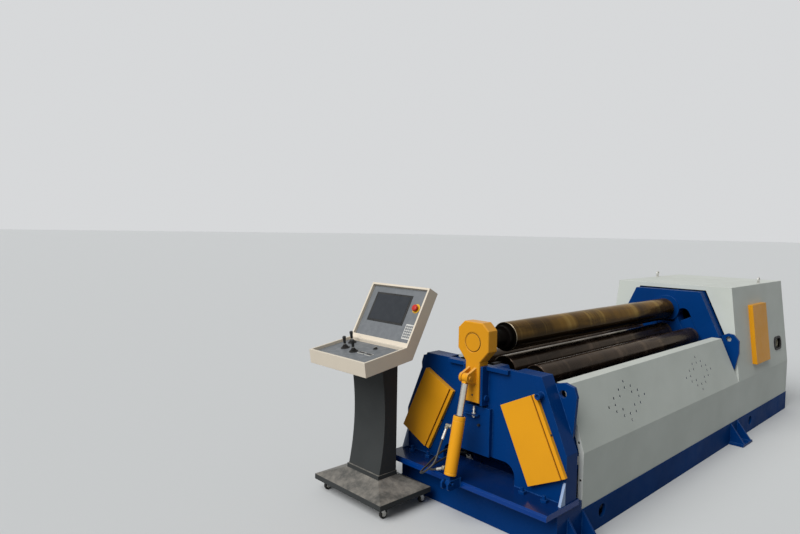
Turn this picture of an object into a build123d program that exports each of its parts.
from build123d import *
import math
import os

# Four-roll plate rolling machine with its operator console.
# Millimetres. X runs along the rolls, +X towards the drive end. Y = 0 is the plane of symmetry,
# -Y is the front. Z = 0 is the floor. X = 0 is the outer face of the drop-end frame.

# Rolls
roll_length = 2100.0
roll_start_x = 221.0
top_roll_z = 961.0
top_roll_r = 84.0
bottom_roll_r = 80.0
roll_gap = 25.0
side_roll_r = 70.0
side_roll_y = 212.0
side_roll_z = 765.0
side_angle = 26.0
journal_r = 36.0
shoulder_r = 52.0
shoulder_gap = 15.0
roll_chamfer = 4.0
neck_r = 46.0
collar_r = 66.0
collar_length = 40.0
drive_collar_r = 60.0
journal_tip_x = -38.0
journal_tip_r = 30.0
journal_mouth_r = 40.0
neck_cone_length = 50.0
bore_gap = 5.0

# Travel of the lower rolls
bottom_lift_up = 19.0
bottom_lift_down = 60.0
side_lift_down = 60.0

# Base
base_start_x = -50.0
base_half_width = 540.0
base_height = 155.0
beam_flange = 90.0
beam_web = 16.0
beam_flange_thick = 16.0
cross_beam_width = 120.0
pedestal_end_x = 175.0
shelf_top_z = 235.0
shelf_thick = 30.0
shelf_front_x = -170.0
shelf_overhang = 15.0
shelf_back_x = 120.0
shelf_bevel = 8.0
pipe_hole_r = 36.0
pipe_hole_up = 10.0
pipe_hole_from_ends = (439.0, 972.0)
foot_plate_length = 200.0
foot_plate_width = 100.0
foot_plate_thick = 16.0
foot_rib_height = 150.0
foot_rib_thick = 14.0
foot_rib_spacing = 140.0
drop_foot_x = 120.0
drive_foot_offset = 21.0
anchor_hole_r = 11.0

# Drop-end frame
frame_thick = 100.0
face_thick = 25.0
drop_top_z = 837.0
drop_top_half = 395.0
shoulder_z = 475.0
shoulder_out = 10.0
arch_half = 250.0
arch_top_z = 345.0
arch_corner_r = 70.0
arm_slot_bottom_z = 610.0
block_half = 50.0
bottom_block_half = 70.0
guide_gap = 0.5
run_gap = 6.0
block_up_drop = 45.0
block_down = 85.0
gusset_depth = 42.0
gusset_thick = 14.0
stud_x = -45.0
stud_from_sides = (95.0, 225.0)
stud_nut_r = 19.0
stud_nut_height = 14.0
stud_r = 9.0
stud_height = 34.0

# Lifting ears, as (distance out from the frame's edge, height below its corner)
ear_thick = 20.0
ear_hole_r = 20.0
near_ear = ((-48, 59), (58, 32), (105, 47), (101, 93), (5, 283), (-44, 347))
near_ear_hole = (25.5, 90)
far_ear = ((-12, -7), (48, -33), (86, -28), (114, 18), (90, 112), (30, 236), (-12, 236))
far_ear_hole = (43.5, 9)
far_ear_offset = 62.0

# Drive-end frame
roll_to_drive = 53.0
drive_thick = 120.0
drive_top_z = 1112.0
drive_top_half = 256.0
drive_cover_z = 775.0
drive_low_z = 443.0
drive_behind_cover = 23.0
drive_below_cover = 32.0
block_up_drive = 139.0
block_corner = 14.0
bottom_block_up_drive = 87.0
block_setback = 8.0
slot_top_up = 228.0
boss_r = 105.0
boss_proud = 15.0
journal_past_drive = 25.0
top_journal_past_drive = 60.0

# Tilting head, arm and its cylinder
pivot_x = -25.0
pivot_z = 665.0
pivot_pin_r = 15.0
arm_face_x = -61.0
arm_thick = 73.0
arm_half = 48.0
arm_bottom_z = 636.0
neck_z = 856.0
head_low_z = 920.0
head_high_z = 1031.0
head_top_z = 1071.0
head_half = 105.0
head_top_half = 62.0
head_chamfer = 4.0
cheek_gap = 5.0
cheek_thick = 14.0
cheek_cap_half = 205.0
cheek_cap_depth = 22.0
cap_r = 48.0
cap_seat_r = 56.0
cap_thick = 3.0
clevis_x = -111.0
clevis_z = 778.0
lug_r = 27.0
lug_thick = 15.0
lug_root_up = 49.0
lug_root_down = 35.0
eye_thick = 26.0
eye_r = 24.0
eye_gap = 1.0
clevis_pin_r = 10.0
pin_fit = 0.05
pin_end = 6.0
foot_pin_x = -230.0
foot_pin_z = 236.0
foot_pin_r = 8.0
foot_slip_x = 15.6
foot_slip_z = 6.7
foot_slot_gap = 2.0
foot_eye_half = 13.0
foot_eye_r = 18.0
foot_lug_gap = 2.0
foot_lug_thick = 12.0
foot_lug_up = 20.0
rod_r = 17.5
barrel_r = 33.0
barrel_cap = 12.0
barrel_top_from_clevis = 206.0
rod_bottom_room = 155.0
barrel_bottom_from_foot = 41.0

# Oil ports and hoses of the cylinder. A route runs from its ferrule to its end nut.
hose_r = 5.5
ferrule_r = 8.5
nut_r = 10.5
nut_length = 12.0
elbow_r = 9.5
upper_port_z = 513.0
lower_port_z = 300.0
upper_elbow_y = 73.0
lower_elbow_y = 45.0
upper_ferrule_length = 74.0
lower_ferrule_length = 53.0
upper_route = ((-205, 73, 448), (-226, 73, 410), (-247, 69, 371), (-275, 64, 335), (-303, 80, 306),
               (-311, 112, 279), (-295, 147, 262), (-261, 171, 257), (-206, 181, 271), (-150, 192, 288),
               (-94, 200, 303), (-39, 205, 311), (16, 205, 309), (66, 201, 303), (102, 196, 291),
               (129, 192, 270), (145, 189, 243), (149, 187, 219))
lower_route = ((-224, 88, 283), (-230, 124, 269), (-214, 158, 260), (-183, 180, 256), (-136, 184, 264),
               (-88, 183, 273), (-36, 180, 280), (16, 178, 281), (62, 175, 280), (100, 171, 271),
               (130, 167, 250), (147, 164, 221))

# Covers
cover_thick = 3.0
cover_start_x = 185.0
cover_fold_z = 443.0
cover_top_z = 777.0
cover_lean_in = 102.0
cover_flange = 67.0
cover_end_flange = 28.0
cover_top_before_drive = 27.0
cover_fold_past_drive = 85.0
lift_cover_half = 114.0
lift_cover_high = 420.0
lift_cover_deep = 30.0
lift_cover_strip = 24.0
lift_cover_step = 9.0
lift_cover_sheet = 3.0
lift_cover_out = 25.4
lift_cover_down = 293.3

# Drive housing
house_setback = 92.0
house_length = 1266.0
house_top_z = 1156.0
house_lean_in = 85.0
sheet = 4.0
cutout_gap = 9.0
cabinet_from_front = 334.0
cabinet_length = 338.0
cabinet_low_z = 535.0
cabinet_high_z = 1003.0
cabinet_proud = 35.0
port_from_back = 252.0
port_z = 625.0
port_length = 170.0
port_height = 100.0
port_corner_r = 22.0
port_rim = 8.0
eye_bolt_from_front = 710.0
eye_bolt_from_edge = 22.0
eye_bolt_up = 30.0
eye_bolt_ring_r = 25.0
eye_bolt_hole_r = 15.0
eye_bolt_collar_r = 14.0
eye_bolt_thick = 10.0

# Position sensor below the arm
sensor_x = -42.0
sensor_y = -3.0
sensor_low_z = 548.0
sensor_high_z = 611.0
sensor_r = 6.0
sensor_nut_r = 11.0
sensor_margin = 12.0
sensor_plate = (-35.0, 65.0)
sensor_plate_z = 562.0
sensor_plate_thick = 6.0
guide_thick = 28.0
guide_half = 100.0
guide_above_arch = 5.0
gland_y = -31.0
gland_z = 511.0
gland_length = 14.0

# Operator console
console_x = -292.0
console_y = 545.0
console_base_x = 385.0
console_base_y = 585.0
console_floor_gap = 68.0
console_base_edge = 30.0
console_base_rise = 58.0
column_depth = 135.0
column_waist = 92.0
column_width = 268.0
column_top_z = 850.0
skirt_height = 24.0
skirt_proud = 4.0
caster_inset = 45.0
caster_trail = 18.0
caster_wheel_r = 25.0
caster_wheel_w = 20.0
caster_axle_r = 4.0
caster_plate_half = 16.0
tray_front_x = -566.0
tray_shift = -15.0
tray_length = 305.0
tray_front_z = 790.0
tray_slope = 8.4
tray_height = 80.0
tray_width = 488.0
tray_wall = 12.0
tray_recess = 18.0
lid_angle = 28.6
lid_length = 362.0
lid_depth = 75.0
lever_places = ((160, 118), (140, 18), (250, 165))
key_places = ((147, -46), (144, -111))
knob_place = (235, -60)

# Places that follow from the sizes above
roll_end_x = roll_start_x + roll_length
drive_face_x = roll_end_x + roll_to_drive
drive_back_x = drive_face_x + drive_thick
house_start_x = drive_face_x + house_setback
house_end_x = house_start_x + house_length
bottom_roll_z = top_roll_z - top_roll_r - roll_gap - bottom_roll_r
shelf_half = base_half_width + shelf_overhang
shelf_low_z = shelf_top_z - shelf_thick
shoulder_half = base_half_width + shoulder_out
cover_half = base_half_width - cover_thick
cover_top_half = cover_half - cover_lean_in
drive_cover_half = cover_top_half - drive_behind_cover
drive_low_half = cover_half - drive_below_cover
house_top_half = cover_half - house_lean_in
arm_inner_x = arm_face_x + arm_thick
cheek_inner = arm_half + cheek_gap
cheek_outer = cheek_inner + cheek_thick
bottom_slot_low = bottom_roll_z - block_down - bottom_lift_down - run_gap
pocket = block_half + guide_gap
bottom_pocket = bottom_block_half + guide_gap
cylinder_length = math.hypot(clevis_x - foot_pin_x, clevis_z - foot_pin_z)
cylinder_lean = math.degrees(math.atan2(clevis_x - foot_pin_x, clevis_z - foot_pin_z))
tray_y = console_y + tray_shift

os.makedirs("parts", exist_ok=True)


def box(x0, x1, y0, y1, z0, z1):
    return Pos((x0 + x1) / 2, (y0 + y1) / 2, (z0 + z1) / 2) * Box(x1 - x0, y1 - y0, z1 - z0)


def across(points, x0, x1):
    """A plate whose outline is in Y and Z, from x0 to x1."""
    plane = Plane(origin=(x0, 0, 0), x_dir=(0, 1, 0), z_dir=(1, 0, 0))
    return extrude(plane * make_face(Polyline(*points, close=True)), amount=x1 - x0)


def along(points, y0, y1):
    """A plate whose outline is in X and Z, from y0 to y1."""
    plane = Plane(origin=(0, y1, 0), x_dir=(1, 0, 0), z_dir=(0, -1, 0))
    return extrude(plane * make_face(Polyline(*points, close=True)), amount=y1 - y0)


def rod_x(x0, x1, y, z, r):
    return Pos((x0 + x1) / 2, y, z) * Rot(0, 90, 0) * Cylinder(r, x1 - x0)


def rod_y(x, z, y0, y1, r):
    return Pos(x, (y0 + y1) / 2, z) * Rot(90, 0, 0) * Cylinder(r, y1 - y0)


def rod_z(x, y, z0, z1, r):
    return Pos(x, y, (z0 + z1) / 2) * Cylinder(r, z1 - z0)


def prism_y(x, z, y0, y1, r, sides):
    """A few-sided disc or pin on an axis along Y."""
    return Pos(x, y1, z) * Rot(90, 0, 0) * extrude(RegularPolygon(r, sides), amount=y1 - y0)


def prism_z(x, y, z0, z1, r, sides):
    """A few-sided nut or stud on an upright axis."""
    return Pos(x, y, z0) * extrude(RegularPolygon(r, sides), amount=z1 - z0)


def prism_between(start, end, r, sides):
    """A straight few-sided rod or nut from one point to another."""
    run = Vector(*end) - Vector(*start)
    return extrude(Plane(origin=start, z_dir=run) * RegularPolygon(r, sides), amount=run.length)


def turned(steps, y, z):
    """A turned shape on an axis along X, from (x, radius) steps."""
    points = [(steps[0][0], 0)] + [(x, r) for x, r in steps] + [(steps[-1][0], 0)]
    face = make_face(Plane.XZ * Polyline(*points, close=True))
    return Pos(0, y, z) * revolve(face, Axis.X)


def incline(side):
    """The place of a side roll's axis, with local Z along its guide. side is -1 front, 1 rear."""
    return Pos(0, side * side_roll_y, side_roll_z) * Rot(side * side_angle, 0, 0)


def save(shape, name):
    shape.label = name
    export_step(shape, f"parts/{name}.step")


def joined(pieces):
    return Compound(children=list(pieces))


# Base beams: two channels with round pipe holes in their webs
def base_beam(side):
    y0, y1 = sorted((side * base_half_width, side * (base_half_width - beam_web)))
    f0, f1 = sorted((side * base_half_width, side * (base_half_width - beam_flange)))
    beam = box(pedestal_end_x, house_end_x, y0, y1, 0, base_height)
    beam += box(pedestal_end_x, house_end_x, f0, f1, 0, beam_flange_thick)
    beam += box(pedestal_end_x, house_end_x, f0, f1, base_height - beam_flange_thick, base_height)
    for x in (base_start_x + pipe_hole_from_ends[0], house_end_x - pipe_hole_from_ends[1]):
        beam -= rod_y(x, base_height / 2 + pipe_hole_up, y0 - 5, y1 + 5, pipe_hole_r)
    return beam


# Cross beams between the channels and the pedestal box under the drop-end frame
def base_cross_beams():
    inner = base_half_width - beam_flange
    half = cross_beam_width / 2
    pieces = [box(base_start_x, pedestal_end_x, -base_half_width, base_half_width, 0, shelf_low_z)]
    middles = ((roll_start_x + roll_end_x) / 2, (drive_face_x + drive_back_x) / 2,
               (house_start_x + house_end_x) / 2, house_end_x - half)
    for x in middles:
        pieces.append(box(x - half, x + half, -inner, inner, 0, base_height))
    return joined(pieces)


# Shelf plate under the drop-end frame, with its front edge bevelled
def drop_shelf():
    outline = [(shelf_front_x, shelf_low_z), (shelf_front_x, shelf_top_z - shelf_bevel),
               (shelf_front_x + shelf_bevel, shelf_top_z), (shelf_back_x, shelf_top_z),
               (shelf_back_x, shelf_low_z)]
    return along(outline, -shelf_half, shelf_half)


# Outrigger feet: an anchor plate with two ribs
def outrigger_foot(x, side):
    y0 = side * base_half_width
    y1 = side * (base_half_width + foot_plate_width)
    lo, hi = sorted((y0, y1))
    foot = box(x - foot_plate_length / 2, x + foot_plate_length / 2, lo, hi, 0, foot_plate_thick)
    rib = [(y0, foot_plate_thick), (y1, foot_plate_thick), (y0, foot_rib_height)]
    for dx in (-foot_rib_spacing / 2, foot_rib_spacing / 2):
        foot += across(rib, x + dx - foot_rib_thick / 2, x + dx + foot_rib_thick / 2)
    return foot - rod_z(x, (y0 + y1) / 2, -5, foot_plate_thick + 5, anchor_hole_r)


def outrigger_feet():
    places = (drop_foot_x, drive_face_x + drive_foot_offset)
    return joined(outrigger_foot(x, side) for x in places for side in (-1, 1))


# Drop-end frame: thick plate with an arch, an arm slot and three bearing pockets
def drop_half(z):
    """Half the frame's width at a height on its slanted edge."""
    share = (drop_top_z - z) / (drop_top_z - shoulder_z)
    return drop_top_half + share * (shoulder_half - drop_top_half)


def drop_end_frame():
    outline = [(-shoulder_half, shelf_top_z), (-shoulder_half, shoulder_z),
               (-drop_top_half, drop_top_z), (drop_top_half, drop_top_z),
               (shoulder_half, shoulder_z), (shoulder_half, shelf_top_z)]
    frame = across(outline, 0, frame_thick)
    arch = RectangleRounded(2 * arch_half, 2 * (arch_top_z - shelf_top_z), arch_corner_r)
    plane = Plane(origin=(-1, 0, shelf_top_z), x_dir=(0, 1, 0), z_dir=(1, 0, 0))
    frame -= extrude(plane * arch, amount=frame_thick + 2)
    top = drop_top_z + 5
    frame -= box(-1, face_thick + 1, -cheek_inner, cheek_inner, arm_slot_bottom_z, top)
    frame -= box(face_thick, frame_thick + 1, -bottom_pocket, bottom_pocket, bottom_slot_low, top)
    low = -block_down - side_lift_down - run_gap
    for side in (-1, 1):
        frame -= incline(side) * box(face_thick, frame_thick + 1, -pocket, pocket, low, drop_top_z)
    return frame


# Drive-end frame: plate with a bearing boss, a straight slot and two inclined slots
def drive_half(z):
    """Half the frame's width at a height on its slanted edge."""
    share = (drive_cover_z - z) / (drive_cover_z - drive_low_z)
    return drive_cover_half + share * (drive_low_half - drive_cover_half)


def drive_slab(x0, x1):
    outline = [(-drive_low_half, base_height), (-drive_low_half, drive_low_z),
               (-drive_cover_half, drive_cover_z), (-drive_top_half, drive_top_z),
               (drive_top_half, drive_top_z), (drive_cover_half, drive_cover_z),
               (drive_low_half, drive_low_z), (drive_low_half, base_height)]
    return across(outline, x0, x1)


def drive_end_frame():
    x0, x1 = drive_face_x, drive_back_x
    frame = drive_slab(x0, x1)
    bottom_slot_top = bottom_roll_z + bottom_block_up_drive + bottom_lift_up + run_gap
    frame -= box(x0 - 1, x1 + 1, -bottom_pocket, bottom_pocket, bottom_slot_low, bottom_slot_top)
    low = -block_down - side_lift_down - run_gap
    for side in (-1, 1):
        cut = box(x0 - 1, x1 + 1, -pocket, pocket, low, slot_top_up - pocket)
        cut += rod_x(x0 - 1, x1 + 1, 0, slot_top_up - pocket, pocket)
        frame -= incline(side) * cut
    boss = rod_x(x0 - boss_proud, x0, 0, top_roll_z, boss_r)
    boss -= box(x0 - boss_proud - 1, x0, -boss_r, boss_r, 0, top_roll_z - top_roll_r)
    frame += boss
    return frame - rod_x(x0 - boss_proud - 1, x1 + 1, 0, top_roll_z, shoulder_r + pin_fit)


# Bearing blocks of a lower roll, one at each end. The drive block has cut top corners.
def bearing_blocks(half, up_drop, up_drive, corner):
    drop = box(face_thick + run_gap, frame_thick, -half, half, -block_down, up_drop)
    outline = [(-half, -block_down), (-half, up_drive - corner), (corner - half, up_drive),
               (half - corner, up_drive), (half, up_drive - corner), (half, -block_down)]
    drive = across(outline, drive_face_x + block_setback, drive_back_x)
    bore = journal_r + pin_fit
    drop -= rod_x(face_thick, frame_thick + 1, 0, 0, bore)
    drive -= rod_x(drive_face_x, drive_back_x + 1, 0, 0, bore)
    return joined([drop, drive])


# Turned rolls: body, shoulders and journals
def lower_roll(radius):
    shoulder_start = frame_thick + shoulder_gap
    shoulder_end = drive_face_x - shoulder_gap
    return turned([(face_thick + 2 * run_gap, journal_r), (shoulder_start, journal_r),
                   (shoulder_start, shoulder_r), (roll_start_x, shoulder_r),
                   (roll_start_x, radius), (roll_end_x, radius), (roll_end_x, shoulder_r),
                   (shoulder_end, shoulder_r), (shoulder_end, journal_r),
                   (drive_back_x + journal_past_drive, journal_r)], 0, 0)


def top_roll():
    cone_end = arm_inner_x + neck_cone_length
    collar_x = roll_start_x - collar_length
    drive_collar_end = drive_face_x - boss_proud - run_gap
    return turned([(journal_tip_x, journal_tip_r), (arm_inner_x, journal_mouth_r), (cone_end, neck_r),
                   (collar_x, neck_r), (collar_x, collar_r), (roll_start_x, collar_r),
                   (roll_start_x, top_roll_r - roll_chamfer), (roll_start_x + roll_chamfer, top_roll_r),
                   (roll_end_x, top_roll_r), (roll_end_x, drive_collar_r),
                   (drive_collar_end, drive_collar_r), (drive_collar_end, shoulder_r),
                   (drive_back_x + top_journal_past_drive, shoulder_r)], 0, top_roll_z)


# Tilting head: octagonal bearing head and arm in one plate, with clevis lugs and pins
def tilting_head():
    outline = [(-arm_half, arm_bottom_z), (-arm_half, neck_z), (-head_half, head_low_z),
               (-head_half, head_high_z), (-head_top_half, head_top_z),
               (head_top_half, head_top_z), (head_half, head_high_z), (head_half, head_low_z),
               (arm_half, neck_z), (arm_half, arm_bottom_z)]
    head = across(outline, arm_face_x, arm_inner_x)
    head = chamfer(head.faces().sort_by(Axis.X)[0].edges(), head_chamfer)
    head -= turned([(journal_tip_x - bore_gap, journal_tip_r + bore_gap),
                    (arm_inner_x + 1, journal_mouth_r + bore_gap)], 0, top_roll_z)
    head -= rod_x(arm_face_x - 1, arm_face_x + cap_thick, 0, top_roll_z, cap_seat_r)
    inner = eye_thick / 2 + eye_gap
    outer = inner + lug_thick
    root_x = arm_face_x + 1
    for side in (-1, 1):
        y0, y1 = sorted((side * inner, side * outer))
        head += rod_y(clevis_x, clevis_z, y0, y1, lug_r)
        head += along([(clevis_x, clevis_z - lug_r), (clevis_x, clevis_z + lug_r),
                       (root_x, clevis_z + lug_root_up), (root_x, clevis_z - lug_root_down)], y0, y1)
    head += rod_y(clevis_x, clevis_z, -outer - pin_end, outer + pin_end, clevis_pin_r)
    return head + rod_y(pivot_x, pivot_z, -cheek_outer - pin_end, cheek_outer + pin_end, pivot_pin_r)


def head_bearing_cap():
    """A flush cap in the head's round seat, with a shallow groove all round."""
    return rod_x(arm_face_x, arm_face_x + cap_thick, 0, top_roll_z, cap_r)


def on_cylinder():
    """The foot pin's place, with local Z along the cylinder."""
    return Pos(foot_pin_x, 0, foot_pin_z) * Rot(0, cylinder_lean, 0)


def cylinder_axis_x(z):
    """Where the cylinder's axis is at a height."""
    return foot_pin_x + (z - foot_pin_z) * math.tan(math.radians(cylinder_lean))


def tilt_rod():
    up = (Align.CENTER, Align.CENTER, Align.MIN)
    low = barrel_bottom_from_foot + rod_bottom_room
    high = cylinder_length - lug_r - 4
    half = eye_thick / 2
    rod = Pos(0, 0, low) * Cylinder(rod_r, high - low, align=up)
    rod += box(-half, half, -half, half, high, cylinder_length - eye_r + 6)
    rod += Pos(0, 0, cylinder_length) * Rot(90, 0, 0) * Cylinder(eye_r, eye_thick)
    rod -= Pos(0, 0, cylinder_length) * Rot(90, 0, 0) * Cylinder(clevis_pin_r + pin_fit, eye_thick + 2)
    return on_cylinder() * rod


def tilt_barrel():
    up = (Align.CENTER, Align.CENTER, Align.MIN)
    low = barrel_bottom_from_foot
    length = cylinder_length - barrel_top_from_clevis - low
    half = foot_eye_half
    pin_half = half + foot_lug_gap + foot_lug_thick + pin_end
    barrel = Pos(0, 0, low) * Cylinder(barrel_r, length, align=up)
    barrel -= Pos(0, 0, low + barrel_cap) * Cylinder(rod_r + pin_fit, length, align=up)
    barrel += box(-half, half, -half, half, 0, low + 1)
    barrel += Rot(90, 0, 0) * Cylinder(foot_eye_r, 2 * half)
    barrel += Rot(90, 0, 0) * Cylinder(foot_pin_r, 2 * pin_half)
    return on_cylinder() * barrel


# Port elbows and ferrules on the rear side of the barrel, in line with the hoses' first runs
def ferrule(route, length):
    start, after = Vector(*route[0]), Vector(*route[1])
    back = start - (after - start).normalized() * length
    return prism_between(tuple(back), tuple(start), ferrule_r, 12)


def cylinder_ports():
    barrel = on_cylinder() * Cylinder(barrel_r, 3 * cylinder_length)
    upper_x, lower_x = cylinder_axis_x(upper_port_z), cylinder_axis_x(lower_port_z)
    upper = prism_y(upper_x, upper_port_z, 0, upper_elbow_y + elbow_r, elbow_r, 12)
    upper += ferrule(upper_route, upper_ferrule_length)
    lower = prism_y(lower_x, lower_port_z, 0, lower_elbow_y, elbow_r, 12)
    lower += ferrule(lower_route, lower_ferrule_length)
    return joined([upper - barrel, lower - barrel])


def hose(route, name):
    """Straight runs joined by arcs as large as the runs allow. The radii are printed."""
    points = [Vector(*place) for place in route]
    radii = []
    for before, here, after in zip(points, points[1:], points[2:]):
        run_in, run_out = here - before, after - here
        half_turn = math.radians(run_in.get_angle(run_out)) / 2
        radii.append(0.45 * min(run_in.length, run_out.length) / math.tan(half_turn))
    print(name, "radii", [round(r) for r in radii])
    path = FilletPolyline(*points, radius=radii)
    section = Plane(origin=points[0], z_dir=points[1] - points[0]) * RegularPolygon(hose_r, 8)
    tube = sweep(section, path=path)
    share = tube.volume / (section.area * path.length)
    print(name, "length", round(path.length), "volume share", round(share, 4))
    return tube


def hose_end(route):
    """The hexagonal swivel nut on a hose's far end, in line with its last run."""
    last, end = Vector(*route[-2]), Vector(*route[-1])
    tip = end + (end - last).normalized() * nut_length
    return prism_between(tuple(end), tuple(tip), nut_r, 6)


# Bracket on the shelf's front edge that carries the cylinder's foot pin in a slot
def cylinder_foot_bracket():
    lugs = []
    out_x = foot_pin_x - foot_slip_x - foot_pin_r - 13
    top_z = foot_pin_z + foot_lug_up
    outline = [(shelf_front_x, shelf_low_z), (shelf_front_x, top_z), (out_x + 14, top_z),
               (out_x, top_z - 14), (out_x, shelf_low_z + 12), (out_x + 16, shelf_low_z)]
    slot_r = foot_pin_r + foot_slot_gap
    slip = math.hypot(foot_slip_x, foot_slip_z)
    lean = math.degrees(math.atan2(foot_slip_z, foot_slip_x))
    inner = foot_eye_half + foot_lug_gap
    for side in (-1, 1):
        y0, y1 = sorted((side * inner, side * (inner + foot_lug_thick)))
        slot = rod_y(0, 0, y0 - 1, y1 + 1, slot_r) + rod_y(-slip, 0, y0 - 1, y1 + 1, slot_r)
        slot += box(-slip, 0, y0 - 1, y1 + 1, -slot_r, slot_r)
        lugs.append(along(outline, y0, y1) - Pos(foot_pin_x, 0, foot_pin_z) * Rot(0, lean, 0) * slot)
    return joined(lugs)


def arm_cheeks():
    pieces = []
    for side in (-1, 1):
        y0, y1 = sorted((side * cheek_inner, side * cheek_outer))
        cheek = box(arm_face_x + 6, 0, y0, y1, arm_slot_bottom_z + 15, drop_top_z)
        cheek -= rod_y(pivot_x, pivot_z, y0 - 1, y1 + 1, pivot_pin_r + pin_fit)
        c0, c1 = sorted((side * cheek_outer, side * cheek_cap_half))
        pieces.append(cheek + box(-cheek_cap_depth, 0, c0, c1, drop_top_z - cheek_cap_depth, drop_top_z))
    return joined(pieces)


def lower_guide_plate():
    return box(-guide_thick, 0, -guide_half, guide_half, arch_top_z + guide_above_arch, arm_slot_bottom_z)


def frame_gusset(side):
    y0, y1 = sorted((side * (shoulder_half - gusset_thick), side * shoulder_half))
    return along([(0, shelf_top_z), (-gusset_depth, shelf_top_z), (0, arch_top_z)], y0, y1)


# Hexagon nuts on studs along the shelf
def foot_studs():
    studs = []
    for side in (-1, 1):
        for inset in stud_from_sides:
            y = side * (shelf_half - inset)
            nut = prism_z(stud_x, y, shelf_top_z, shelf_top_z + stud_nut_height, stud_nut_r, 6)
            studs.append(nut + prism_z(stud_x, y, shelf_top_z, shelf_top_z + stud_height, stud_r, 8))
    return joined(studs)


# Folded yellow cover over a side roll's lifting cylinder, with a lower strip on its front side
def side_cylinder_cover(side):
    half, tall, t = lift_cover_half, lift_cover_high / 2, lift_cover_sheet
    step_y = lift_cover_strip - half
    low_x = lift_cover_step - lift_cover_deep
    plate = box(-lift_cover_deep, 0, step_y, half, -tall, tall) + box(low_x, 0, -half, step_y, -tall, tall)
    inside = box(t - lift_cover_deep, 1, step_y + t, half - t, t - tall, tall - t)
    inside += box(low_x + t, 1, t - half, step_y + 2 * t, t - tall, tall - t)
    return incline(side) * Pos(0, side * lift_cover_out, -lift_cover_down) * (plate - inside)


# Lifting ears, behind the drop-end frame and on the drive-end frame's edge
def lifting_ear(x, side, half_at, corner_z, outline, hole):
    points = [(side * (half_at(corner_z - down) + out), corner_z - down) for out, down in outline]
    hole_z = corner_z - hole[1]
    hole_y = side * (half_at(hole_z) + hole[0])
    return across(points, x, x + ear_thick) - rod_x(x - 1, x + ear_thick + 1, hole_y, hole_z, ear_hole_r)


def lifting_ears():
    far_x = drive_face_x + far_ear_offset
    slab = drive_slab(drive_face_x, drive_back_x)
    pieces = []
    for side in (-1, 1):
        pieces.append(lifting_ear(frame_thick, side, drop_half, drop_top_z, near_ear, near_ear_hole))
        pieces.append(lifting_ear(far_x, side, drive_half, drive_cover_z, far_ear, far_ear_hole) - slab)
    return joined(pieces)


# Side covers: folded sheet, upright below the fold and slanted above it, with flanges at top and drop end
def side_cover(side):
    t = cover_thick
    rise = cover_top_z - cover_fold_z
    lean = math.degrees(math.atan2(cover_lean_in, rise))
    slant = math.hypot(cover_lean_in, rise)
    flange_end = cover_start_x + t
    top_end = drive_face_x - cover_top_before_drive
    fold_end = drive_face_x + cover_fold_past_drive
    low = box(cover_start_x, house_start_x, -cover_half, t - cover_half, base_height, cover_fold_z)
    inner = cover_end_flange - cover_half
    low += box(cover_start_x, flange_end, -cover_half, inner, base_height, cover_fold_z)
    panel = along([(cover_start_x, 0), (fold_end, 0), (top_end, slant), (cover_start_x, slant)], 0, t)
    panel += box(cover_start_x, flange_end, 0, cover_end_flange, 0, slant)
    panel = Pos(0, -cover_half, cover_fold_z) * Rot(-lean, 0, 0) * panel
    flange = box(cover_start_x, top_end, -cover_top_half, cover_flange - cover_top_half,
                 cover_top_z - t, cover_top_z)
    cover = low + panel + flange
    return mirror(cover, about=Plane.XZ) if side > 0 else cover


# Drive housing of sheet panels
def house_half(z):
    share = (z - cover_fold_z) / (house_top_z - cover_fold_z)
    return cover_half - share * house_lean_in


def port_plane():
    """The middle of the port on the front housing side, with local Z out of the sheet."""
    lean = math.atan2(house_lean_in, house_top_z - cover_fold_z)
    return Plane(origin=(house_end_x - port_from_back, -house_half(port_z), port_z), x_dir=(1, 0, 0),
                 z_dir=(0, -math.cos(lean), math.sin(lean)))


def port_shape(grow):
    size = (port_length + 2 * grow, port_height + 2 * grow)
    return port_plane() * RectangleRounded(*size, port_corner_r + grow)


def housing_side(side):
    outline = [(cover_half, base_height), (cover_half, cover_fold_z), (house_top_half, house_top_z),
               (house_top_half - sheet, house_top_z), (cover_half - sheet, cover_fold_z),
               (cover_half - sheet, base_height)]
    panel = across([(side * y, z) for y, z in outline], house_start_x + sheet, house_end_x - sheet)
    if side < 0:
        panel -= extrude(port_shape(0), amount=4 * sheet, both=True)
    return panel


def port_ring():
    return extrude(port_shape(port_rim), amount=port_rim) - extrude(port_shape(0), amount=port_rim)


def housing_end(side):
    """Half of the front panel, beside the cut-out for the drive-end frame."""
    g = cutout_gap
    points = [(cover_half, base_height), (cover_half, cover_fold_z),
              (house_top_half, house_top_z), (drive_top_half + g, house_top_z),
              (drive_top_half + g, drive_top_z + g), (drive_cover_half + g, drive_cover_z + g),
              (drive_low_half + g, drive_low_z), (drive_low_half + g, base_height)]
    return across([(side * y, z) for y, z in points], house_start_x, house_start_x + sheet)


def housing_lintel():
    half = drive_top_half + cutout_gap
    return box(house_start_x, house_start_x + sheet, -half, half, drive_top_z + cutout_gap, house_top_z)


def housing_rear():
    points = [(-cover_half, base_height), (-cover_half, cover_fold_z), (-house_top_half, house_top_z),
              (house_top_half, house_top_z), (cover_half, cover_fold_z), (cover_half, base_height)]
    return across(points, house_end_x - sheet, house_end_x)


def housing_top():
    half = house_top_half - sheet
    return box(house_start_x + sheet, house_end_x - sheet, -half, half, house_top_z - sheet, house_top_z)


def housing_cabinet():
    low, high = house_half(cabinet_low_z), house_half(cabinet_high_z)
    outline = [(-low, cabinet_low_z), (-high, cabinet_high_z), (-high - cabinet_proud, cabinet_high_z),
               (-low - cabinet_proud, cabinet_low_z)]
    start = house_start_x + cabinet_from_front
    return across(outline, start, start + cabinet_length)


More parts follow.
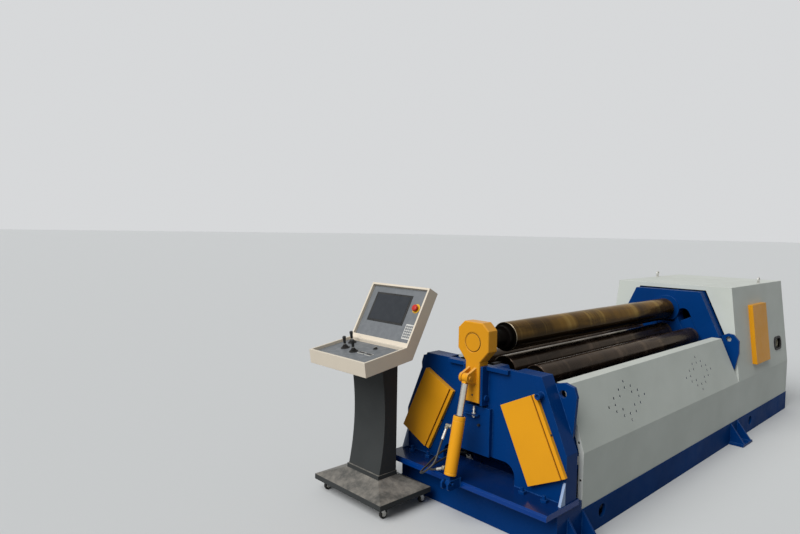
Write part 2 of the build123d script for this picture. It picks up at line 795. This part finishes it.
def eye_bolt(x, y):
    half = eye_bolt_thick / 2
    z = house_top_z + eye_bolt_up
    ring = prism_y(x, z, y - half, y + half, eye_bolt_ring_r, 12)
    ring -= prism_y(x, z, y - half, y + half, eye_bolt_hole_r, 12)
    return ring + prism_z(x, y, house_top_z, house_top_z + eye_bolt_thick, eye_bolt_collar_r, 12)


def eye_bolts():
    y = house_top_half - eye_bolt_from_edge
    return joined(eye_bolt(house_start_x + eye_bolt_from_front, side * y) for side in (-1, 1))


# Position sensor below the arm, its plate and the gland of its lead
def switch_bracket():
    top = sensor_plate_z + sensor_plate_thick
    return box(sensor_x - sensor_margin, -guide_thick, *sensor_plate, sensor_plate_z, top)


def stop_screw():
    body = prism_z(sensor_x, sensor_y, sensor_low_z, sensor_high_z, sensor_r, 10)
    top = sensor_plate_z + sensor_plate_thick
    body += prism_z(sensor_x, sensor_y, top, top + 7, sensor_nut_r, 6)
    body += prism_z(sensor_x, sensor_y, sensor_plate_z - 7, sensor_plate_z, sensor_nut_r, 6)
    gland = prism_between((-guide_thick - gland_length, gland_y, gland_z), (-guide_thick, gland_y, gland_z),
                          sensor_r, 8)
    return joined([body - switch_bracket(), gland])


# Console: a skirted base on casters, a waisted column, a tray and a screen box
def console_base():
    x0, x1 = console_x - console_base_x / 2, console_x + console_base_x / 2
    y0, y1 = console_y - console_base_y / 2, console_y + console_base_y / 2
    z0 = console_floor_gap
    z1 = z0 + console_base_edge
    z2 = z1 + console_base_rise
    top_x = column_depth / 2 + skirt_proud
    top_y = column_width / 2 + skirt_proud
    long_side = [(x0, z1), (x1, z1), (console_x + top_x, z2), (console_x - top_x, z2)]
    short_side = [(y0, z1), (y1, z1), (console_y + top_y, z2), (console_y - top_y, z2)]
    return box(x0, x1, y0, y1, z0, z1) + (along(long_side, y0, y1) & across(short_side, x0, x1))


def console_column():
    x0, x1 = console_x - column_depth / 2, console_x + column_depth / 2
    z0 = console_floor_gap + console_base_edge + console_base_rise
    waist = x1 - column_waist
    half = column_width / 2
    edge = Polyline((x0, z0), (x1, z0), (x1, column_top_z), (x0, column_top_z))
    edge += ThreePointArc((x0, column_top_z), (waist, (z0 + column_top_z) / 2), (x0, z0))
    column = Pos(0, console_y + half, 0) * extrude(make_face(Plane.XZ * edge), amount=column_width)
    column += box(x0 - skirt_proud, x1 + skirt_proud, console_y - half - skirt_proud,
                  console_y + half + skirt_proud, z0, z0 + skirt_height)
    return column - on_tray() * box(-100, 600, -tray_width, tray_width, 0, 400)


def on_tray():
    """The lower front edge of the tray, with local X up its slope."""
    return Pos(tray_front_x, tray_y, tray_front_z) * Rot(0, -tray_slope, 0)


def on_lid():
    """The lid's lower front edge, with local Z up the lid and local X into it."""
    return on_tray() * Pos(tray_length, 0, tray_height) * Rot(0, tray_slope + lid_angle, 0)


def console_box():
    """Tray and screen box in one bent housing, each with a shallow recess for its panel."""
    half = tray_width / 2
    inner = half - tray_wall
    reach = tray_height / math.cos(math.radians(tray_slope + lid_angle)) + lid_depth
    tray = on_tray() * box(0, tray_length, -half, half, 0, tray_height)
    lid = on_lid() * box(0, lid_depth, -half, half, -reach, lid_length)
    housing = tray + (lid - on_tray() * box(-500, 900, -tray_width, tray_width, -500, 0))
    housing -= on_tray() * box(tray_wall, tray_length - tray_wall, -inner, inner,
                               tray_height - tray_recess, tray_height + 1)
    return housing - on_lid() * box(-1, tray_recess, -inner, inner, 2 * tray_wall, lid_length - tray_wall)


def lever(x, y):
    """A rubber boot, a stick and a knob."""
    boot = Pos(x, y, 0) * extrude(RegularPolygon(21, 10), amount=20, taper=30)
    stick = prism_z(x, y, 0, 42, 4.5, 8)
    return boot + stick + prism_z(x, y, 38, 54, 9, 10)


def console_controls():
    floor = tray_height - tray_recess
    pieces = [lever(x, y) for x, y in lever_places]
    pieces += [box(x - 14, x + 14, y - 24, y + 24, 0, 4) for x, y in key_places]
    pieces.append(prism_z(*knob_place, 0, 12, 15, 12))
    return on_tray() * Pos(0, 0, floor) * joined(pieces)


def console_screen():
    back = tray_recess
    screen = box(back - 6, back, -120, 175, 130, 300)
    keys = box(back - 5, back, -225, -160, 50, 135)
    stop = Pos(back, -135, 235) * Rot(0, -90, 0) * extrude(RegularPolygon(16, 12), amount=22)
    return on_lid() * joined([screen - stop, keys, stop])


def caster_places():
    for sx in (-1, 1):
        for sy in (-1, 1):
            yield (console_x + sx * (console_base_x / 2 - caster_inset),
                   console_y + sy * (console_base_y / 2 - caster_inset))


def caster_fork(x, y):
    plate_z = console_floor_gap - 0.3
    crown = plate_z - 8
    half = caster_plate_half
    wheel_x = x + caster_trail
    fork = prism_z(x, y, crown, plate_z, half, 12)
    fork += box(x - 14, x + 14, y - half, y + half, crown - 3, crown)
    for side in (-1, 1):
        y0, y1 = sorted((y + side * (half - 3), y + side * half))
        fork += along([(x - 14, crown), (x + 14, crown), (wheel_x + 8, caster_wheel_r - 7),
                       (wheel_x - 8, caster_wheel_r - 7)], y0, y1)
        fork -= prism_y(wheel_x, caster_wheel_r, y0 - 1, y1 + 1, 1.15 * caster_axle_r, 8)
    return fork


def caster_wheel(x, y):
    half = caster_wheel_w / 2
    wheel = prism_y(x + caster_trail, caster_wheel_r, y - half, y + half, caster_wheel_r, 24)
    return wheel + prism_y(x + caster_trail, caster_wheel_r, y - half - 8, y + half + 8, caster_axle_r, 8)


save(base_beam(-1), "base_beam_front")
save(base_beam(1), "base_beam_rear")
save(base_cross_beams(), "base_cross_beams")
save(drop_shelf(), "drop_shelf")
save(outrigger_feet(), "outrigger_feet")
save(drop_end_frame(), "drop_end_frame")
save(arm_cheeks(), "arm_cheeks")
save(lower_guide_plate(), "lower_guide_plate")
save(joined(frame_gusset(side) for side in (-1, 1)), "frame_gussets")
save(foot_studs(), "foot_studs")
save(side_cylinder_cover(-1), "side_cylinder_cover_front")
save(side_cylinder_cover(1), "side_cylinder_cover_rear")
save(lifting_ears(), "lifting_ears")
save(drive_end_frame(), "drive_end_frame")
save(side_cover(-1), "side_cover_front")
save(side_cover(1), "side_cover_rear")
save(housing_end(-1), "housing_end_front")
save(housing_end(1), "housing_end_rear")
save(housing_lintel(), "housing_lintel")
save(housing_side(-1), "housing_side_front")
save(housing_side(1), "housing_side_rear")
save(housing_top(), "housing_top")
save(housing_rear(), "housing_back")
save(housing_cabinet(), "housing_cabinet")
save(eye_bolts(), "eye_bolts")
save(port_ring(), "port_ring")
save(cylinder_foot_bracket(), "cylinder_foot_bracket")
save(stop_screw(), "stop_screw")
save(switch_bracket(), "switch_bracket")
save(top_roll(), "top_roll")
on_bottom = Pos(0, 0, bottom_roll_z)
save(on_bottom * lower_roll(bottom_roll_r), "bottom_roll")
save(on_bottom * bearing_blocks(bottom_block_half, block_up_drop, bottom_block_up_drive, 0.5),
     "bottom_roll_blocks")
for side, name in ((-1, "front"), (1, "rear")):
    save(Pos(0, side * side_roll_y, side_roll_z) * lower_roll(side_roll_r), f"{name}_roll")
    save(incline(side) * bearing_blocks(block_half, block_up_drop, block_up_drive, block_corner),
         f"{name}_roll_blocks")
save(tilting_head(), "tilting_head")
save(head_bearing_cap(), "head_bearing_cap")
save(tilt_rod(), "tilt_rod")
save(tilt_barrel(), "tilt_barrel")
save(cylinder_ports(), "cylinder_ports")
save(hose(upper_route, "upper_hose"), "upper_hose")
save(hose(lower_route, "lower_hose"), "lower_hose")
save(joined(hose_end(route) for route in (upper_route, lower_route)), "hose_ends")
save(console_base(), "console_base")
save(console_column(), "console_column")
save(console_box(), "console_box")
save(console_controls(), "console_controls")
save(console_screen(), "console_screen")
for number, (x, y) in enumerate(caster_places(), 1):
    save(caster_fork(x, y), f"caster_fork_{number}")
    save(caster_wheel(x, y), f"caster_wheel_{number}")
